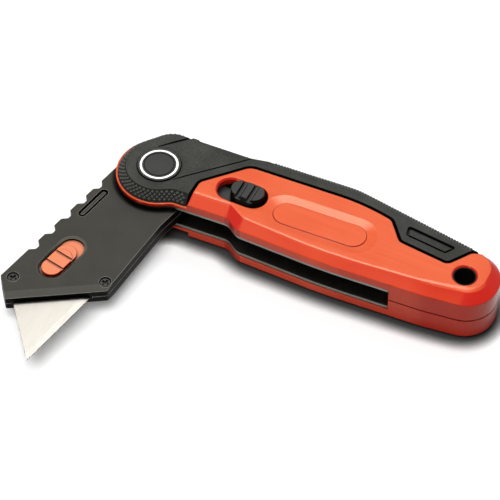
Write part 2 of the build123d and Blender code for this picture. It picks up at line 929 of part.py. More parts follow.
def head_half():
    """Half of the head, drawn on the front side of its middle plane."""
    half = prism(head_outline(), mid_z, head_top)
    half -= disc(barrel_radius + running_clearance, 0, handle_thickness)
    for turn in range(jimp_count):
        half -= prism(Pos(jimp_start + turn * jimp_pitch, 0) * jimp(), 0, handle_thickness)
    half -= nose_wedge()
    flute = stadium(flute_end - flute_start, flute_width, (flute_start + flute_end) / 2, flute_y)
    half -= moat(flute, head_top, flute_depth, flute_gap, flute_island_sink)
    mouth = blade_plan(blade_clearance)
    half -= prism(mouth, 0, blade_top + blade_face_gap)
    return half


def head_front_shell():
    half = head_half()
    ring = Circle(track_radius + tooth_radius + track_clearance)
    ring -= Circle(track_radius - tooth_radius - track_clearance)
    half -= prism(ring, track_floor, head_top + over)
    for angle in (closed_angle, open_angle):
        notch = stadium(
            2 * (track_radius - notch_radius) + 2 * (tooth_radius + track_clearance),
            2 * (tooth_radius + track_clearance), track_radius,
        )
        half -= Rot(0, 0, -angle) * prism(notch, track_floor, head_top + over)
    recess = stadium(release_recess_length, release_recess_width, release_x, release_y)
    half -= extrude(Pos(0, 0, head_top) * recess, amount=-release_recess_depth, taper=release_recess_slope)
    window = stadium(release_window_length, release_window_width, release_x, release_y)
    half -= prism(window, mid_z, head_top + over)
    room = release_flange_edge + release_gap
    travel_room = stadium(
        release_window_length + 2 * room + release_travel, release_window_width + 2 * room,
        release_x - release_travel / 2, release_y,
    )
    half -= prism(travel_room, mid_z, release_ceiling)
    half -= release_spring_room()
    half -= catch_room()
    for x, y in nose_screw_places():
        half -= disc(nose_screw_recess, nose_screw_seat, head_top + over, x, y)
        half -= disc(nose_screw_shank + fit_clearance, 0, head_top, x, y)
    return swing(half)


def head_back_shell():
    half = to_back(head_half())
    for x, y in nose_screw_places():
        half -= disc(nose_screw_shank + fit_clearance, head_low + nose_screw_floor, mid_z + over, x, y)
    half -= catch_room_below()
    return swing(half)


def release_flange_start():
    return release_x - release_window_length / 2 - release_flange_edge


def release_spring_room():
    end = release_flange_start() + release_gap
    start = end - release_travel - release_spring_length
    half = release_spring_width / 2 + release_gap
    return block(start, end, release_y - half, release_y + half, mid_z, release_ceiling)


def release_spring():
    length = release_spring_length + release_travel - spring_strip - 2 * release_gap
    strip = wave(
        length, release_spring_width - spring_strip, spring_strip, spring_waves,
        release_flange_low, release_flange_top,
    )
    start = release_flange_start() - release_gap - spring_strip / 2 - length
    return swing(Pos(start, release_y) * strip)


def release_button():
    """The flange under the head's skin and the ribbed thumb piece that stands through the window."""
    flange = stadium(
        release_window_length + 2 * release_flange_edge, release_flange_width, release_x, release_y
    )
    button = prism(flange, release_flange_low, release_flange_top)
    top = head_top + release_rise
    stem_length = release_thumb_length - release_thumb_width + release_stem_width
    stem = stadium(stem_length, release_stem_width, release_thumb_x, release_y)
    button += prism(stem, release_flange_top, head_top)
    thumb = stadium(release_thumb_length, release_thumb_width, release_thumb_x, release_y)
    button += prism(thumb, head_top - release_thumb_plate, head_top)
    button += extrude(Pos(0, 0, head_top) * thumb, amount=release_rise, taper=release_edge_slope)
    for side in (-1, 1):
        x = release_thumb_x + side * release_groove_pitch / 2
        button -= block(
            x - release_groove_width / 2, x + release_groove_width / 2, release_y - release_window_width,
            release_y + release_window_width, top - release_groove_depth, top + over,
        )
    return swing(button - release_step(thumb))


def release_step(thumb):
    """The crescent at the pivot end of the thumb piece that lies a little lower than its pads."""
    radius = release_thumb_width / 2
    pad_x = release_thumb_x - release_thumb_length / 2 + release_crescent + radius
    end_area = Rectangle(2 * release_thumb_length, release_window_width)
    end = Pos(pad_x - release_thumb_length, release_y) * end_area
    crescent = (thumb & end) - Pos(pad_x, release_y) * Circle(radius)
    top = head_top + release_rise
    return prism(crescent, top - release_crescent_depth, top + over)


def catch_bounds():
    """Plan of the catch: its block beside the flange and the tooth that reaches the blade's notch."""
    flange_side = release_y - release_flange_width / 2
    tooth_y = blade_back_y + catch_bite
    block_y = min(flange_side, release_y - release_recess_width / 2) - 2 * catch_gap
    return block_y - catch_length, block_y, tooth_y


def blade_catch():
    low_y, block_y, tooth_y = catch_bounds()
    half = catch_width / 2
    catch = block(catch_x - half, catch_x + half, low_y, block_y, blade_top + catch_gap, catch_top())
    catch += block(catch_x - half, catch_x + half, low_y, tooth_y, blade_low, blade_top + 2 * catch_gap)
    return swing(catch)


def catch_top():
    return blade_top + catch_gap + catch_height


def catch_room():
    low_y, block_y, tooth_y = catch_bounds()
    half = catch_width / 2 + catch_gap
    ceiling = catch_top() + catch_lift + catch_gap
    room = block(catch_x - half, catch_x + half, low_y - catch_gap, block_y + catch_gap, mid_z, ceiling)
    tooth_top = blade_top + 2 * catch_gap + catch_lift + catch_gap / 2
    return room + block(catch_x - half, catch_x + half, low_y, tooth_y + catch_gap, mid_z, tooth_top)


def catch_room_below():
    low_y, _, tooth_y = catch_bounds()
    half = catch_width / 2 + catch_gap
    return block(
        catch_x - half, catch_x + half, low_y - catch_gap, tooth_y + catch_gap, blade_low - catch_gap, mid_z
    )


def nose_screws():
    screw = disc(nose_screw_radius, nose_screw_seat, head_top - nose_screw_sink)
    screw += disc(nose_screw_shank, head_low + nose_screw_floor + lock_gap, nose_screw_seat)
    screw -= cross_recess(head_top - nose_screw_sink)
    return Compound(children=[swing(Pos(x, y) * screw).solid() for x, y in nose_screw_places()])


pieces = {
    "front_shell": front_shell(),
    "back_shell": back_shell(),
    "front_grip": front_grip(),
    "back_grip": back_grip(),
    "front_liner": front_liner(),
    "back_liner": back_liner(),
    "spine_spacer": spine_spacer(),
    "lanyard_bush": lanyard_bush(),
    "pivot_barrel": pivot_barrel(),
    "pivot_screw": pivot_screw(),
    "front_cap": cap_blank(),
    "back_cap": to_back(cap_blank()),
    "front_cap_ring": ring_blank(),
    "back_cap_ring": to_back(ring_blank()),
    "pivot_washers": pivot_washers(),
    "stop_pin": stop_pin(),
    "lock_plate": lock_plate(),
    "lock_spring": lock_spring(),
    "lock_slider": lock_slider(),
    "handle_screws": handle_screws(),
    "head_front_shell": head_front_shell(),
    "head_back_shell": head_back_shell(),
    "blade": swing(blade()),
    "release_button": release_button(),
    "blade_catch": blade_catch(),
    "release_spring": release_spring(),
    "nose_screws": nose_screws(),
}

os.makedirs("parts", exist_ok=True)
for name, piece in pieces.items():
    export_step(piece, f"parts/{name}.step")
print("pieces written:", len(pieces))
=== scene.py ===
# %% [markdown]
# # A folding utility knife, half open on a white table
# The knife is already built as solid parts, to the tenth of a millimetre. This lesson dresses those
# parts: it gives every one of them a finish that a real knife has, adds the fine rubber texture that
# solids leave out, and lights and frames the scene as a product photographer would.
# The solids are never moved. They are loaded as a fixed frame, and every new piece rides on one of them.

# %% Load the knife
from math import cos, pi, radians, sin, tan

import bpy
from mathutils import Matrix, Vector


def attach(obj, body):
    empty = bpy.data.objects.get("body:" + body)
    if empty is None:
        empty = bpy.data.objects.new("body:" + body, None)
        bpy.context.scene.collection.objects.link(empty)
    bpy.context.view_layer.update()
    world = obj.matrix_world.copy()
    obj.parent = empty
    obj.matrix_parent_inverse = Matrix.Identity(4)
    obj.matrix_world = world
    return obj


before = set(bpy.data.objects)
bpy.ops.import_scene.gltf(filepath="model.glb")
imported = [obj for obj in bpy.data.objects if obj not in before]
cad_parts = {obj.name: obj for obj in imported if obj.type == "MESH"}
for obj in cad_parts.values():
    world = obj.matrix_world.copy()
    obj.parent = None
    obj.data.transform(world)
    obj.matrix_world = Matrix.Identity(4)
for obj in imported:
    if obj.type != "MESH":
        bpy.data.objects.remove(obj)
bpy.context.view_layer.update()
print("parts loaded:", len(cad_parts))

# %% [markdown]
# ## Units, colours and nodes
# Blender works in metres and in linear colour, but a maker thinks in millimetres and picks colours as
# hex codes. Short helpers translate. Another adds one shader node with its settings and links, so that
# each material below reads as a list of what feeds what.

# %% Small helpers
MM = 0.001


def linear(code):
    """Turns an sRGB hex code into the linear colour that a shader wants."""
    parts = [int(code[i:i + 2], 16) / 255 for i in (1, 3, 5)]
    curve = [p / 12.92 if p <= 0.04045 else ((p + 0.055) / 1.055) ** 2.4 for p in parts]
    return (*curve, 1.0)


def add(tree, kind, inputs=None, **settings):
    """Adds one node. An input is a plain value, or the output socket that feeds it."""
    made = tree.nodes.new(kind)
    for name, value in settings.items():
        setattr(made, name, value)
    for name, value in (inputs or {}).items():
        if isinstance(value, bpy.types.NodeSocket):
            tree.links.new(value, made.inputs[name])
        else:
            made.inputs[name].default_value = value
    return made


def per_mm(size):
    """Texture scale for features of this size in millimetres, with coordinates in metres."""
    return 1 / (size * MM)


def new_finish(name):
    """An empty material, its node tree and its main shader."""
    made = bpy.data.materials.new(name)
    made.use_nodes = True
    return made, made.node_tree, made.node_tree.nodes["Principled BSDF"]


print("orange in linear light:", [round(c, 3) for c in linear("#e6482a")])

# %% [markdown]
# ## The table
# The knife lies on plain white, and its soft shadow is dark only where it nearly touches the table.
# White paint under light of about strength 1 renders as white by itself. A trace of glow takes the last
# grey out of it. The eye, reflections and glass see that glow, but it lights nothing.
# Large lamps leave the shade under the knife too pale, so the paint also darkens where the knife closes
# the table in. The Ambient Occlusion node tells how open each point is within a few millimetres.

# %% White table with a contact shade
TABLE_WIDTH = 6.0
TABLE_GLOW = 0.15
CONTACT_REACH = 5.6
CONTACT_OPEN = 0.5, 0.97
CONTACT_FALL = 2.4


def seen_directly(tree):
    """1 for rays from the eye, from a reflection or through glass, 0 for rays that only light things."""
    path = add(tree, "ShaderNodeLightPath")
    mirror = add(tree, "ShaderNodeMath",
                 {0: path.outputs["Is Camera Ray"], 1: path.outputs["Is Glossy Ray"]}, operation="MAXIMUM")
    return add(tree, "ShaderNodeMath", {0: mirror.outputs[0], 1: path.outputs["Is Transmission Ray"]},
               operation="MAXIMUM").outputs[0]


bpy.ops.mesh.primitive_grid_add(x_subdivisions=2, y_subdivisions=2, size=TABLE_WIDTH)
table = bpy.context.object
table.name = "table_top"
table_paint, tree, paint = new_finish("white_table_paint")
seen = seen_directly(tree)
around = add(tree, "ShaderNodeAmbientOcclusion", {"Distance": CONTACT_REACH * MM}, samples=16)
open_share = add(tree, "ShaderNodeMapRange",
                 {"Value": around.outputs["AO"], "From Min": CONTACT_OPEN[0], "From Max": CONTACT_OPEN[1]})
clear = add(tree, "ShaderNodeMath", {0: open_share.outputs[0], 1: CONTACT_FALL}, operation="POWER")
white = add(tree, "ShaderNodeMix",
            {"Factor": clear.outputs[0], "A": linear("#3c3c3c"), "B": linear("#fafafa")}, data_type="RGBA")
tone = add(tree, "ShaderNodeMix",
           {"Factor": seen, "A": linear("#c4c4c4"), "B": white.outputs["Result"]}, data_type="RGBA")
lit = add(tree, "ShaderNodeMath", {0: seen, 1: clear.outputs[0]}, operation="MULTIPLY")
glow = add(tree, "ShaderNodeMath", {0: lit.outputs[0], 1: TABLE_GLOW}, operation="MULTIPLY")
tree.links.new(tone.outputs["Result"], paint.inputs["Base Color"])
tree.links.new(glow.outputs[0], paint.inputs["Emission Strength"])
paint.inputs["Emission Color"].default_value = linear("#ffffff")
paint.inputs["Roughness"].default_value = 0.9
paint.inputs["Specular IOR Level"].default_value = 0.0
table.data.materials.append(table_paint)
print("table:", TABLE_WIDTH, "m wide, shade within", CONTACT_REACH, "mm of the knife")

# %% [markdown]
# ## The room
# White all round fills the shadows. A photographer keeps the viewer's side of the room dark, so that
# glossy faces turned that way stay deep in colour. Here only reflections see that darker side. To the
# eye the background is white everywhere, and as fill light the world is even and weak.

# %% White studio world
FILL_LIGHT = 0.18
WORK_SIDE = Vector((0.315, -0.575, 0.753))
ROOM_TURN = 0.1, 0.75
ROOM_DIM = 0.05

world = bpy.data.worlds.new("white_studio")
world.use_nodes = True
bpy.context.scene.world = world
tree = world.node_tree
way = add(tree, "ShaderNodeTexCoord")
towards = add(tree, "ShaderNodeVectorMath", {0: way.outputs["Generated"], 1: WORK_SIDE},
              operation="DOT_PRODUCT")
room = add(tree, "ShaderNodeMapRange", {"Value": towards.outputs["Value"], "From Min": ROOM_TURN[0],
                                        "From Max": ROOM_TURN[1], "To Min": 1.0, "To Max": ROOM_DIM})
eye = add(tree, "ShaderNodeLightPath").outputs["Is Camera Ray"]
shown = add(tree, "ShaderNodeMapRange", {"Value": eye, "To Min": room.outputs[0], "To Max": 1.0})
strength = add(tree, "ShaderNodeMapRange",
               {"Value": seen_directly(tree), "To Min": FILL_LIGHT, "To Max": shown.outputs[0]})
tree.links.new(strength.outputs[0], tree.nodes["Background"].inputs["Strength"])
tree.nodes["Background"].inputs["Color"].default_value = linear("#ffffff")
print("world:", world.name, "with fill light", FILL_LIGHT)

# %% [markdown]
# ## The lamps
# One large softbox stands above and in front of the knife and gives most of the light. A weaker one
# behind lifts the far side. Softboxes this large would mirror in every glossy face, so light and glint
# are split: the softboxes only light, and two panels only show as glints. No real lamp can do this, but
# ray visibility in Blender can. The back panel brightens the blade and the slopes round the label.

# %% Softboxes and glint panels
KNIFE_MIDDLE = Vector((0.04, -0.03, 0.0))


def soft_light(name, place, width, depth, power, shines=True, glints=True):
    """A rectangular lamp turned to the knife. It lights surfaces, shows as a glint, or both."""
    lamp = bpy.data.lights.new(name, "AREA")
    lamp.shape = "RECTANGLE"
    lamp.size, lamp.size_y, lamp.energy = width, depth, power
    holder = bpy.data.objects.new(name, lamp)
    holder.location = place
    holder.rotation_euler = (KNIFE_MIDDLE - Vector(place)).to_track_quat("-Z", "Y").to_euler()
    holder.visible_camera = False
    holder.visible_diffuse, holder.visible_glossy = shines, glints
    bpy.context.scene.collection.objects.link(holder)


soft_light("overhead_softbox", (0.04, -0.40, 0.83), width=0.6, depth=0.5, power=7.5, glints=False)
soft_light("back_softbox", (-0.02, 0.62, 0.66), width=0.6, depth=0.4, power=2.6, glints=False)
soft_light("back_glint_panel", (-0.11, 0.265, 0.82), width=0.34, depth=0.27, power=4.8, shines=False)
soft_light("front_glint_panel", (-0.23, -0.14, 0.82), width=0.22, depth=0.32, power=0.5, shines=False)
bpy.context.scene.view_settings.view_transform = "Standard"

# %% [markdown]
# ## The camera
# Lines that are parallel on the knife stay almost parallel in the picture, so it was taken from far
# away with a long lens. The viewing angle was worked out from points whose real places are known: the
# two rims of the handle, the round pivot cap and the straight back of the blade.

# %% Long lens, looking down at about fifty degrees
VIEW_TURN = radians(25.83)
VIEW_HEIGHT = radians(49.95)
camera_data = bpy.data.cameras.new("long_lens")
camera_data.sensor_width = 36.0
camera_data.lens = 180.0
camera_data.clip_start, camera_data.clip_end = 0.05, 20.0
camera = bpy.data.objects.new("camera", camera_data)
camera.location = (0.2318, -0.4193, 0.5475)
camera.rotation_euler = (pi / 2 - VIEW_HEIGHT, 0.0, VIEW_TURN)
bpy.context.scene.collection.objects.link(camera)
bpy.context.scene.camera = camera
print("camera stands", round(camera.location.length, 3), "m from the pivot")

# %% [markdown]
# ## Finishes
# A finish is more than a colour. Each one below starts from the real material and how its surface was
# made, and then gets what the eye expects of it: a grain of the right size, a gloss, and edges that
# catch the light. Moulded, cast and coated edges are never perfectly sharp, so the Bevel node rounds
# the shading over a fraction of a millimetre. Its difference from the true surface direction also tells
# where an edge is, where coatings wear thin, rubber looks polished and a painted highlight is laid.
# Shade is painted in as well: grooves get a dark painted shade, and walls are painted deeper in colour
# than faces. Ambient occlusion finds the grooves, and the direction of the surface tells walls, slopes and
# faces apart.

# %% What the finishes share
EDGE_TURN = 0.995, 0.8


def place_on_part(tree, stretch=(1, 1, 1), turn=(0, 0, 0)):
    """Coordinates fixed to the part, in metres, stretched along its own axes."""
    where = add(tree, "ShaderNodeTexCoord")
    return add(tree, "ShaderNodeMapping", {"Vector": where.outputs["Object"], "Scale": stretch,
                                           "Rotation": turn}).outputs[0]


def soft_edges(tree, radius):
    """The rounded surface direction, and how strongly the surface turns there, from 0 to 1."""
    rounded = add(tree, "ShaderNodeBevel", {"Radius": radius * MM}, samples=6)
    true = add(tree, "ShaderNodeNewGeometry")
    same = add(tree, "ShaderNodeVectorMath", {0: rounded.outputs[0], 1: true.outputs["True Normal"]},
               operation="DOT_PRODUCT")
    edge = add(tree, "ShaderNodeMapRange", {"Value": same.outputs["Value"], "From Min": EDGE_TURN[0],
                                            "From Max": EDGE_TURN[1]})
    return rounded.outputs[0], edge.outputs[0]


def in_the_open(tree, reach, low=0.3, high=0.8):
    """1 on open surfaces, falling to 0 deep in a groove, judged over a reach in millimetres."""
    around = add(tree, "ShaderNodeAmbientOcclusion", {"Distance": reach * MM}, samples=8)
    return add(tree, "ShaderNodeMapRange", {"Value": around.outputs["AO"], "From Min": low,
                                            "From Max": high}).outputs[0]


def facing_out(tree, wall, face):
    """0 on walls and 1 on the front and back faces. The limits are cosines of the angle to a face."""
    way = add(tree, "ShaderNodeNewGeometry")
    lean = add(tree, "ShaderNodeSeparateXYZ", {0: way.outputs["True Normal"]})
    level = add(tree, "ShaderNodeMath", {0: lean.outputs["Z"]}, operation="ABSOLUTE")
    return add(tree, "ShaderNodeMapRange", {"Value": level.outputs[0], "From Min": wall,
                                            "From Max": face}).outputs[0]


def wear(node_names, finish):
    """Puts a finish on parts of the knife."""
    for name in node_names:
        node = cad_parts[name]
        node.data.materials.clear()
        node.data.materials.append(finish)
    print(finish.name, "on", ", ".join(node_names))


print("a finish counts as at an edge from a turn with cosine", EDGE_TURN[0])

# %% [markdown]
# ### Orange lacquer on die-cast aluminium
# The two shells are cast and sprayed with a satin orange lacquer. Rubbing down the casting before it is
# sprayed leaves faint streaks along the handle, about a millimetre apart, which show as slightly lighter
# and darker lines.
# In the photograph the lacquer is orange on the faces and redder on slopes and walls, most of all where
# they turn to the ends of the handle. The lamps alone don't give that, so shade is painted into the tone
# by the direction of the surface. Thin gaps and the deepest part of the slot get a nearly brown painted
# shade.

# %% Orange lacquer
STREAK_MM, STREAK_STRETCH = 1.2, 0.05
LACQUER_CLOUD_MM = 18
LACQUER_FLAT = 0.948, 0.966
LACQUER_WALL = 0.2, 0.7
TURNED_AWAY = 0.1


def orange_lacquer():
    finish, tree, shader = new_finish("orange_lacquer_on_cast_aluminium")
    streaks = add(tree, "ShaderNodeTexNoise", {
        "Vector": place_on_part(tree, (STREAK_STRETCH, 1, 1)), "Scale": per_mm(STREAK_MM),
        "Detail": 4.0, "Roughness": 0.6})
    cloud = add(tree, "ShaderNodeTexNoise", {"Vector": place_on_part(tree),
                                             "Scale": per_mm(LACQUER_CLOUD_MM), "Detail": 2.0})
    both = add(tree, "ShaderNodeMath", {0: streaks.outputs["Fac"], 1: cloud.outputs["Fac"]},
               operation="ADD")
    share = add(tree, "ShaderNodeMapRange", {"Value": both.outputs[0], "From Min": 0.7, "From Max": 1.3})
    # Painted shade: slopes and walls turned towards the ends of the handle get a deeper red.
    out = add(tree, "ShaderNodeSeparateXYZ", {0: add(tree, "ShaderNodeNewGeometry").outputs["Normal"]})
    to_ends = add(tree, "ShaderNodeMath", {0: out.outputs["X"]}, operation="ABSOLUTE")
    deep = add(tree, "ShaderNodeMapRange", {"Value": to_ends.outputs[0], "From Min": 0.0,
                                            "From Max": TURNED_AWAY})
    slope = add(tree, "ShaderNodeMix", {"Factor": deep.outputs[0], "A": linear("#d8421f"),
                                        "B": linear("#c6241a")}, data_type="RGBA")
    # Painted shade: slopes are redder than the faces.
    flat = facing_out(tree, *LACQUER_FLAT)
    face_low = add(tree, "ShaderNodeMix", {"Factor": flat, "A": slope.outputs["Result"],
                                           "B": linear("#e2562e")}, data_type="RGBA")
    face_high = add(tree, "ShaderNodeMix", {"Factor": flat, "A": slope.outputs["Result"],
                                            "B": linear("#e76238")}, data_type="RGBA")
    body = add(tree, "ShaderNodeMix", {"Factor": share.outputs[0], "A": face_low.outputs["Result"],
                                       "B": face_high.outputs["Result"]}, data_type="RGBA")
    # Painted shade: walls are a darker red than faces and slopes.
    wall = add(tree, "ShaderNodeMix", {"Factor": deep.outputs[0], "A": linear("#c4442c"),
                                       "B": linear("#a4200e")}, data_type="RGBA")
    colour = add(tree, "ShaderNodeMix", {"Factor": facing_out(tree, *LACQUER_WALL),
                                         "A": wall.outputs["Result"], "B": body.outputs["Result"]},
                 data_type="RGBA")
    # Painted shade: thin gaps and the deepest part of the slot go nearly brown.
    thin_gap, slot_wall = in_the_open(tree, 0.4, 0.45, 0.75), in_the_open(tree, 3.0, 0.45, 0.74)
    open_air = add(tree, "ShaderNodeMath", {0: thin_gap, 1: slot_wall}, operation="MULTIPLY")
    shaded = add(tree, "ShaderNodeMix", {"Factor": open_air.outputs[0], "A": linear("#2a0e09"),
                                         "B": colour.outputs["Result"]}, data_type="RGBA")
    gloss = add(tree, "ShaderNodeMapRange", {"Value": streaks.outputs["Fac"], "From Min": 0.3,
                                             "From Max": 0.7, "To Min": 0.2, "To Max": 0.24})
    normal, _ = soft_edges(tree, 0.55)
    ripple = add(tree, "ShaderNodeBump", {"Height": streaks.outputs["Fac"], "Normal": normal,
                                          "Strength": 0.03, "Distance": 0.1 * MM})
    tree.links.new(shaded.outputs["Result"], shader.inputs["Base Color"])
    tree.links.new(gloss.outputs[0], shader.inputs["Roughness"])
    tree.links.new(ripple.outputs[0], shader.inputs["Normal"])
    shader.inputs["IOR"].default_value = 1.5
    shader.inputs["Specular IOR Level"].default_value = 0.26
    shader.inputs["Specular Tint"].default_value = linear("#fff0d8")
    return finish


wear(["front_shell", "back_shell"], orange_lacquer())

# %% [markdown]
# ### Black mouldings and coatings
# Rubber, nylon, baked coating and black oxide differ in tone, gloss and grain, but are built alike: a
# fine even grain left by the spark-eroded tool or the spray, edges lighter from rubbing wear and a
# painted highlight, walls painted darker as shade, painted shade that goes black in the grooves, and
# slopes in a painted tone of their own that stands for how light falls on them. So one function makes them
# all.
# The real grain is about 0.05 to 0.1 mm, which is less than half a pixel here. It is drawn coarser, at
# 0.2 to 0.5 mm, so that it shows at all.

# %% One recipe for black finishes
BLACK_CLOUD_MM = 9
SLOPE_LEAN = 0.93, 0.985
WALL_LEAN = 0.25, 0.6
EDGE_WEAR_AND_HIGHLIGHT_SHARE = 0.6
GLOSS_SPREAD = 0.06


def moulded_black(name, dark, light, worn_and_highlight, slope, wall, grain_mm, roughness, pit_mm, edge_mm,
                  specular, reach=0.8, low=0.3, high=0.8):
    """A black grain, painted shade on walls and in grooves, painted tones on slopes, worn highlit edges.
    """
    finish, tree, shader = new_finish(name)
    place = place_on_part(tree)
    grain = add(tree, "ShaderNodeTexNoise", {"Vector": place, "Scale": per_mm(grain_mm), "Detail": 3.0,
                                             "Roughness": 0.55})
    cloud = add(tree, "ShaderNodeTexNoise", {"Vector": place, "Scale": per_mm(BLACK_CLOUD_MM),
                                             "Detail": 2.0})
    mixed = add(tree, "ShaderNodeMath", {0: grain.outputs["Fac"], 1: cloud.outputs["Fac"]},
                operation="ADD")
    share = add(tree, "ShaderNodeMapRange", {"Value": mixed.outputs[0], "From Min": 0.75,
                                             "From Max": 1.25})
    normal, edge = soft_edges(tree, edge_mm)
    face = add(tree, "ShaderNodeMix", {"Factor": share.outputs[0], "A": linear(dark),
                                       "B": linear(light)}, data_type="RGBA")
    # Painted light and shade: slopes get a tone of their own.
    lean = add(tree, "ShaderNodeMix", {"Factor": facing_out(tree, *SLOPE_LEAN), "A": linear(slope),
                                       "B": face.outputs["Result"]}, data_type="RGBA")
    # Painted shade: walls get a darker tone.
    body = add(tree, "ShaderNodeMix", {"Factor": facing_out(tree, *WALL_LEAN), "A": linear(wall),
                                       "B": lean.outputs["Result"]}, data_type="RGBA")
    # Edges get a lighter tone, partly wear and partly a painted highlight.
    edge_wear_and_highlight = add(tree, "ShaderNodeMath", {0: edge, 1: EDGE_WEAR_AND_HIGHLIGHT_SHARE}, operation="MULTIPLY")
    colour = add(tree, "ShaderNodeMix", {"Factor": edge_wear_and_highlight.outputs[0], "A": body.outputs["Result"],
                                         "B": linear(worn_and_highlight)}, data_type="RGBA")
    # Painted shade: grooves go nearly black.
    painted_groove_shade = add(tree, "ShaderNodeMix", {"Factor": in_the_open(tree, reach, low, high),
                                        "A": linear("#050505"), "B": colour.outputs["Result"]},
                data_type="RGBA")
    gloss = add(tree, "ShaderNodeMapRange", {
        "Value": grain.outputs["Fac"], "From Min": 0.3, "From Max": 0.7,
        "To Min": roughness - GLOSS_SPREAD, "To Max": roughness + GLOSS_SPREAD})
    pits = add(tree, "ShaderNodeBump", {"Height": grain.outputs["Fac"], "Normal": normal,
                                        "Strength": 0.5, "Distance": pit_mm * MM})
    tree.links.new(painted_groove_shade.outputs["Result"], shader.inputs["Base Color"])
    tree.links.new(gloss.outputs[0], shader.inputs["Roughness"])
    tree.links.new(pits.outputs[0], shader.inputs["Normal"])
    shader.inputs["IOR"].default_value = 1.5
    shader.inputs["Specular IOR Level"].default_value = specular
    return finish


print("black grain is drawn at 0.2 to 0.5 mm")

# %% [markdown]
# ### Moulded rubber and nylon
# The grip is a thermoplastic rubber with hardly any gloss. Its raised texture gets a lighter finish of
# its own, partly worn by fingers at the tips and partly a painted highlight. The slider and the caps are
# nylon, a little smoother. The spacer and the bush of the hole are plain black nylon that sits in the
# dark.

# %% Rubber and nylon
grip_rubber = moulded_black(
    "spark_grained_tpe_rubber", dark="#30312d", light="#464743", worn_and_highlight="#585953", slope="#272724",
    wall="#0d0d0c", grain_mm=0.5, roughness=0.62, pit_mm=0.1, edge_mm=0.3, specular=0.12,
    reach=1.5, low=0.45, high=0.95)
rubber_tips = moulded_black(
    "rubbed_and_highlit_tpe_rubber", dark="#4e4f4b", light="#5e5f5b", worn_and_highlight="#70716b", slope="#4e4f4b",
    wall="#343431", grain_mm=0.5, roughness=0.6, pit_mm=0.05, edge_mm=0.15, specular=0.15, reach=0.25)
black_nylon = moulded_black(
    "moulded_black_nylon", dark="#141413", light="#1a1a19", worn_and_highlight="#1f1f1e", slope="#141413",
    wall="#0c0c0b", grain_mm=0.5, roughness=0.5, pit_mm=0.03, edge_mm=0.25, specular=0.1)
slider_nylon = moulded_black(
    "moulded_slider_nylon", dark="#3a3a38", light="#444442", worn_and_highlight="#6c6c66", slope="#45453f",
    wall="#050504", grain_mm=0.3, roughness=0.5, pit_mm=0.04, edge_mm=0.25, specular=0.08)
wear(["front_grip", "back_grip"], grip_rubber)
wear(["spine_spacer", "lanyard_bush"], black_nylon)
wear(["lock_slider", "front_cap", "back_cap"], slider_nylon)

# %% [markdown]
# ### Black coating on the head, and black oxide
# The two halves of the head are cast aluminium with a baked black coating. It is flatter and finer than
# rubber and shows as a warm grey on its faces, painted lighter on the slope above the blade, and almost
# white along edges, where rubbing wear carries a painted highlight. Painted shade keeps its side walls
# and the seats round button and screws black.
# The screws and the lock plate are steel with black oxide, which leaves a slight sheen.

# %% Baked coating and black oxide
# Painted light on the slope and edges, painted shade on the walls and seats.
head_coating = moulded_black(
    "baked_black_coating", dark="#403f39", light="#464540", worn_and_highlight="#d8d4c6", slope="#5c5a53",
    wall="#080807", grain_mm=0.25, roughness=0.4, pit_mm=0.02, edge_mm=0.3, specular=0.04,
    reach=2.0, low=0.78, high=0.985)
screw_black = moulded_black(
    "black_oxide_steel", dark="#2e2e2c", light="#353532", worn_and_highlight="#66645e", slope="#2e2e2c",
    wall="#0a0a0a", grain_mm=0.2, roughness=0.38, pit_mm=0.02, edge_mm=0.12, specular=0.2)
wear(["head_front_shell", "head_back_shell"], head_coating)
wear(["handle_screws", "nose_screws", "lock_plate"], screw_black)

# %% [markdown]
# ### Orange button
# The blade release is a small moulding in acetal, dyed right through. It is a touch paler and flatter
# than the lacquer, with walls and edges painted redder as shade, and painted shade in the gap round it.

# %% Orange acetal
FLOW_MM = 2.5
BUTTON_FACE = 0.5, 0.95
BUTTON_EDGE_SHARE = 0.85


def orange_acetal():
    finish, tree, shader = new_finish("moulded_orange_acetal")
    flow = add(tree, "ShaderNodeTexNoise", {"Vector": place_on_part(tree), "Scale": per_mm(FLOW_MM),
                                            "Detail": 3.0})
    normal, edge = soft_edges(tree, 0.2)
    face = add(tree, "ShaderNodeMix", {"Factor": flow.outputs["Fac"], "A": linear("#e07440"),
                                       "B": linear("#e47c46")}, data_type="RGBA")
    # Painted shade: walls are a darker red.
    body = add(tree, "ShaderNodeMix", {"Factor": facing_out(tree, *BUTTON_FACE), "A": linear("#d8321c"),
                                       "B": face.outputs["Result"]}, data_type="RGBA")
    # Painted shade: edges are a darker red.
    rim = add(tree, "ShaderNodeMath", {0: edge, 1: BUTTON_EDGE_SHARE}, operation="MULTIPLY")
    colour = add(tree, "ShaderNodeMix", {"Factor": rim.outputs[0], "A": body.outputs["Result"],
                                         "B": linear("#e0361a")}, data_type="RGBA")
    # Painted shade: the gap round the button goes nearly black.
    painted_groove_shade = add(tree, "ShaderNodeMix", {"Factor": in_the_open(tree, 1.3, 0.45, 0.95),
                                        "A": linear("#1c0503"), "B": colour.outputs["Result"]},
                data_type="RGBA")
    tree.links.new(painted_groove_shade.outputs["Result"], shader.inputs["Base Color"])
    tree.links.new(normal, shader.inputs["Normal"])
    shader.inputs["Roughness"].default_value = 0.4
    shader.inputs["IOR"].default_value = 1.48
    return finish


wear(["release_button"], orange_acetal())

# %% [markdown]
# ### Bare metal
# The liners and the inner parts are rolled steel sheet, tumbled to a satin grey. The blade is ground
# across its width, which leaves fine lines at right angles to its edge, and its edge is honed at a low
# slope, which is painted a shade darker to tone down its reflection. The ring of the cap is turned and
# polished nickel, and the washers are bearing bronze. Grooves and slots in all of them get painted shade.
# Grinding and tumbling lines are about 0.05 mm apart. They are drawn at 0.3 to 0.4 mm, so that they
# show in the picture.

# %% Satin, ground and polished metal
HONED_SLOPE = 0.99, 0.998


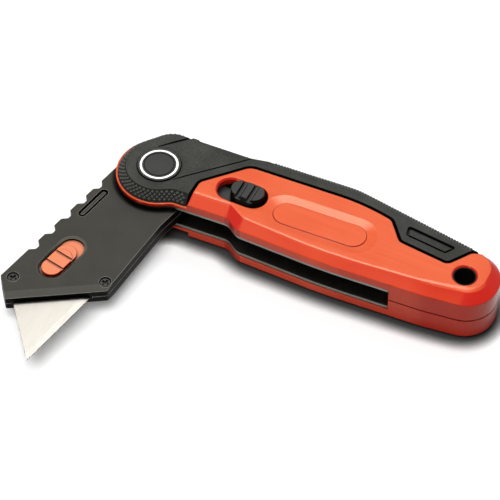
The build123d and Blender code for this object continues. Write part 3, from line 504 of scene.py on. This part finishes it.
def bare_metal(name, dark, light, line_mm, stretch, roughness, turn=(0, 0, 0), spread=0.06,
               edge_mm=0.15, honed=None):
    """A bare metal with fine lines in one direction, and a painted shade where an edge is honed."""
    finish, tree, shader = new_finish(name)
    lines = add(tree, "ShaderNodeTexNoise", {
        "Vector": place_on_part(tree, stretch, turn), "Scale": per_mm(line_mm), "Detail": 4.0,
        "Roughness": 0.65})
    share = add(tree, "ShaderNodeMapRange", {"Value": lines.outputs["Fac"], "From Min": 0.3,
                                             "From Max": 0.7})
    colour = add(tree, "ShaderNodeMix", {"Factor": share.outputs[0], "A": linear(dark),
                                         "B": linear(light)}, data_type="RGBA")
    # Painted shade: the honed slope is darker, which tones down its reflection.
    if honed:
        colour = add(tree, "ShaderNodeMix", {"Factor": facing_out(tree, *HONED_SLOPE),
                                             "A": linear(honed), "B": colour.outputs["Result"]},
                     data_type="RGBA")
    gloss = add(tree, "ShaderNodeMapRange", {"Value": share.outputs[0], "To Min": roughness + spread,
                                             "To Max": roughness - spread})
    normal, _ = soft_edges(tree, edge_mm)
    scratch = add(tree, "ShaderNodeBump", {"Height": lines.outputs["Fac"], "Normal": normal,
                                           "Strength": 0.08, "Distance": 0.02 * MM})
    # Painted shade: grooves and slots go nearly black.
    painted_groove_shade = add(tree, "ShaderNodeMix", {"Factor": in_the_open(tree, 2.0, 0.2, 0.85),
                                        "A": linear("#141312"), "B": colour.outputs["Result"]},
                data_type="RGBA")
    tree.links.new(painted_groove_shade.outputs["Result"], shader.inputs["Base Color"])
    tree.links.new(gloss.outputs[0], shader.inputs["Roughness"])
    tree.links.new(scratch.outputs[0], shader.inputs["Normal"])
    shader.inputs["Metallic"].default_value = 1.0
    return finish


HEAD_TURN = radians(-101)
satin_steel = bare_metal("tumbled_sheet_steel", "#7c7a74", "#8c8a83", 0.4, (0.2, 1, 1), 0.42)
ground_steel = bare_metal("ground_blade_steel", "#9b9790", "#9f9b94", 0.35, (1, 0.04, 1), 0.42,
                          turn=(0, 0, -HEAD_TURN), honed="#86837d")
polished_ring = bare_metal("polished_nickel", "#e6e4de", "#f0eee8", 0.3, (1, 1, 1), 0.3, spread=0.03,
                           edge_mm=0.04)
bronze = bare_metal("bearing_bronze", "#a9834a", "#bb9558", 0.3, (1, 1, 1), 0.35)
wear(["front_liner", "back_liner", "pivot_barrel", "pivot_screw", "stop_pin", "lock_spring",
      "blade_catch", "release_spring"], satin_steel)
wear(["blade"], ground_steel)
wear(["front_cap_ring", "back_cap_ring"], polished_ring)
wear(["pivot_washers"], bronze)

# %% [markdown]
# ## Diamonds on the round end
# The rubber round the pivot leans in from the ledge to the face, and its slope carries a moulded diamond
# pattern for the fingers. A bump map would leave the outline smooth, so each diamond is real: a small
# closed pyramid with its point cut off.
# The slope is a ruled surface: it joins one path on the ledge to a shorter path at the face. A diamond
# is set on it by how far along the paths and how far up the slope it stands.

# %% The two paths of the slope
THICKNESS = 16.5
LEDGE_Z = 13.4
END_RADIUS = 12.5
END_LEAN = radians(39.3)
NECK_TURN = radians(30)
NECK_Y, NECK_ROUND = -9.45, 3.0
CROWN_Y, CROWN_ROUND, CROWN_SHARE = 14.5, 7.8, 0.6
LEDGE_INSET, FACE_INSET = 0.5, 3.0
DIAMONDS_FROM_X, DIAMONDS_TO_X = 12.2, 1.6
ARC_STEPS, CORNER_STEPS = 40, 8


def round_end(angle, inset):
    """A point on the round end, moved in by an inset."""
    return (END_RADIUS - inset) * Vector((cos(angle), sin(angle)))


def rounded_corner(before, corner, after, radius):
    """Points on the arc that rounds a corner off."""
    back, on = (before - corner).normalized(), (after - corner).normalized()
    half = back.angle(on) / 2
    centre = corner + (back + on).normalized() * radius / sin(half)
    first = corner + back * radius / tan(half) - centre
    last = corner + on * radius / tan(half) - centre
    return [centre + first.lerp(last, i / CORNER_STEPS).normalized() * radius
            for i in range(CORNER_STEPS + 1)]


def band_path(inset):
    """The edge of the round end, moved in by an inset, from the finger dip round to the crown."""
    low = round_end(NECK_TURN - pi / 2, inset)
    neck = Vector((low.x + (NECK_Y + inset - low.y) / tan(NECK_TURN), NECK_Y + inset))
    top = round_end(pi - END_LEAN, inset)
    crown_y = CROWN_Y - CROWN_SHARE * inset
    crown = Vector((top.x + (crown_y - top.y) * tan(END_LEAN), crown_y))
    start, finish = Vector((DIAMONDS_FROM_X, neck.y)), Vector((DIAMONDS_TO_X, crown_y))
    sweep = NECK_TURN - pi / 2, -pi - END_LEAN
    arc = [round_end(sweep[0] + (sweep[1] - sweep[0]) * i / ARC_STEPS, inset)
           for i in range(ARC_STEPS + 1)]
    path = [start] + rounded_corner(start, neck, low, NECK_ROUND + inset) + arc
    return path + rounded_corner(top, crown, finish, CROWN_ROUND - CROWN_SHARE * inset) + [finish]


ledge_path, face_path = band_path(LEDGE_INSET), band_path(FACE_INSET)
ruling = [(Vector((*a, LEDGE_Z)), Vector((*b, THICKNESS))) for a, b in zip(ledge_path, face_path)]
reach = [0.0]
for (a0, b0), (a1, b1) in zip(ruling, ruling[1:]):
    reach.append(reach[-1] + ((a1 + b1) / 2 - (a0 + b0) / 2).length)
print("slope is", round(reach[-1], 1), "mm long")

# %% [markdown]
# A place on the slope is found by walking along the middle of the two paths. Pieces are described in
# millimetres on the front of the knife, and the back gets the same piece mirrored in the middle plane.

# %% Pieces from points


def on_slope(along, up):
    """Place and outward direction on the slope, from a length along it and a share of its height."""
    along = min(max(along, 0.0), reach[-1] - 1e-6)
    i = max(k for k in range(len(reach) - 1) if reach[k] <= along)
    part = (along - reach[i]) / (reach[i + 1] - reach[i])
    foot, head = (ruling[i][k].lerp(ruling[i + 1][k], part) for k in (0, 1))
    ahead = (ruling[i + 1][0] + ruling[i + 1][1]) - (ruling[i][0] + ruling[i][1])
    return foot.lerp(head, up), (head - foot).cross(ahead).normalized()


def front_and_back(name, solids, finish, body):
    """Two pieces from closed solids given as (points, faces): the front one and its mirror image."""
    for side in ("front", "back"):
        points, faces = [], []
        for corners, loops in solids:
            start = len(points)
            points += [(p.x * MM, p.y * MM, (p.z if side == "front" else THICKNESS - p.z) * MM)
                       for p in corners]
            faces += [[start + k for k in (loop if side == "front" else loop[::-1])] for loop in loops]
        mesh = bpy.data.meshes.new(f"{side}_{name}")
        mesh.from_pydata(points, [], faces)
        mesh.materials.append(finish)
        piece = bpy.data.objects.new(f"{side}_{name}", mesh)
        bpy.context.scene.collection.objects.link(piece)
        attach(piece, body)
        print(piece.name, "of", len(solids), "closed solids")


print("slope starts at", [round(v, 2) for v in on_slope(0.0, 0.0)[0]])

# %% [markdown]
# The diamonds stand in four rows, each shifted by half a pitch from the one below. Their feet are sunk a
# little into the rubber, so that no gap shows under them.

# %% Diamonds
DIAMOND_PITCH = 1.4
DIAMOND_ROWS = 4
DIAMOND_HEIGHT = 0.36
DIAMOND_SINK = 0.08
DIAMOND_GAP = 0.93
DIAMOND_TOP = 0.34
SLOPE_MARGIN = 0.05
DIAMOND_SIDES = [(k, (k + 1) % 4, (k + 1) % 4 + 4, k + 4) for k in range(4)]
DIAMOND_FACES = [(3, 2, 1, 0), (4, 5, 6, 7)] + DIAMOND_SIDES


def diamond(along, up, half_up):
    """A cut-off pyramid on four points round its middle, sunk a little into the slope."""
    half_along = DIAMOND_PITCH / 2 * DIAMOND_GAP
    points = []
    for size, height in ((DIAMOND_GAP, -DIAMOND_SINK), (DIAMOND_TOP, DIAMOND_HEIGHT)):
        for step, rise in ((-1, 0), (0, -1), (1, 0), (0, 1)):
            spot, out = on_slope(along + step * half_along * size, up + rise * half_up * size)
            points.append(spot + out * height)
    return points, DIAMOND_FACES


half_up = (1 - 2 * SLOPE_MARGIN) / (DIAMOND_ROWS + 1)
diamonds = []
for row in range(DIAMOND_ROWS):
    shift = DIAMOND_PITCH * (0.5 + row % 2 / 2)
    up = SLOPE_MARGIN + half_up * (row + 1)
    for column in range(int((reach[-1] - shift - DIAMOND_PITCH / 2) / DIAMOND_PITCH) + 1):
        diamonds.append(diamond(shift + column * DIAMOND_PITCH, up, half_up))
front_and_back("grip_diamonds", diamonds, rubber_tips, "handle")

# %% [markdown]
# ## Ribs along the spine
# The rounded edge of the rubber along the spine is cut into fine ribs, which show as a serrated outline.
# Each rib is an arch over the rounding, wider at its foot than at its top. It is a closed solid too, and
# its two ends dive into the rubber.

# %% Ribs
SPINE_ROUND = 2.0
RIB_PITCH, RIB_FOOT, RIB_TOP = 0.9, 0.56, 0.26
RIB_HEIGHT, RIB_SINK = 0.2, 0.1
RIBS_FROM, RIBS_TO = 2.5, 66.0
RIB_ARCH = [(8, False), (25, True), (38, True), (52, True), (65, True), (82, False)]
HUMP_ROUND = 30.0
hump_start, hump, tail_end = Vector((27.3, 15.5)), Vector((55.0, 16.75)), Vector((104.25, 8.7))
spine_path = [hump_start] + rounded_corner(hump_start, hump, tail_end, HUMP_ROUND) + [tail_end]


def on_spine(along):
    """Place on the edge of the spine and its direction there."""
    for a, b in zip(spine_path, spine_path[1:]):
        if along <= (b - a).length:
            return a + (b - a).normalized() * along, (b - a).normalized()
        along -= (b - a).length
    return spine_path[-1], (spine_path[-1] - spine_path[-2]).normalized()


def rib(along):
    """One arch, from four points at each turn: two at its foot and two at its top."""
    edge, ahead = on_spine(along)
    out = Vector((-ahead.y, ahead.x))
    points = []
    for turn, proud in RIB_ARCH:
        angle, top = radians(turn), RIB_HEIGHT if proud else -RIB_SINK / 2
        profile = (-RIB_FOOT, -RIB_SINK), (-RIB_TOP, top), (RIB_TOP, top), (RIB_FOOT, -RIB_SINK)
        for width, height in profile:
            radius = SPINE_ROUND + height
            flat = edge + ahead * width / 2 + out * (radius * cos(angle) - SPINE_ROUND)
            points.append(Vector((*flat, THICKNESS - SPINE_ROUND + radius * sin(angle))))
    loops = [(0, 1, 2, 3), tuple(len(points) - 1 - k for k in range(4))]
    for i in range(0, len(points) - 4, 4):
        loops += [(i + (k + 1) % 4, i + k, i + k + 4, i + (k + 1) % 4 + 4) for k in range(4)]
    return points, loops


rib_count = int((RIBS_TO - RIBS_FROM) / RIB_PITCH) + 1
ribs = [rib(RIBS_FROM + i * RIB_PITCH) for i in range(rib_count)]
front_and_back("spine_ribs", ribs, rubber_tips, "handle")
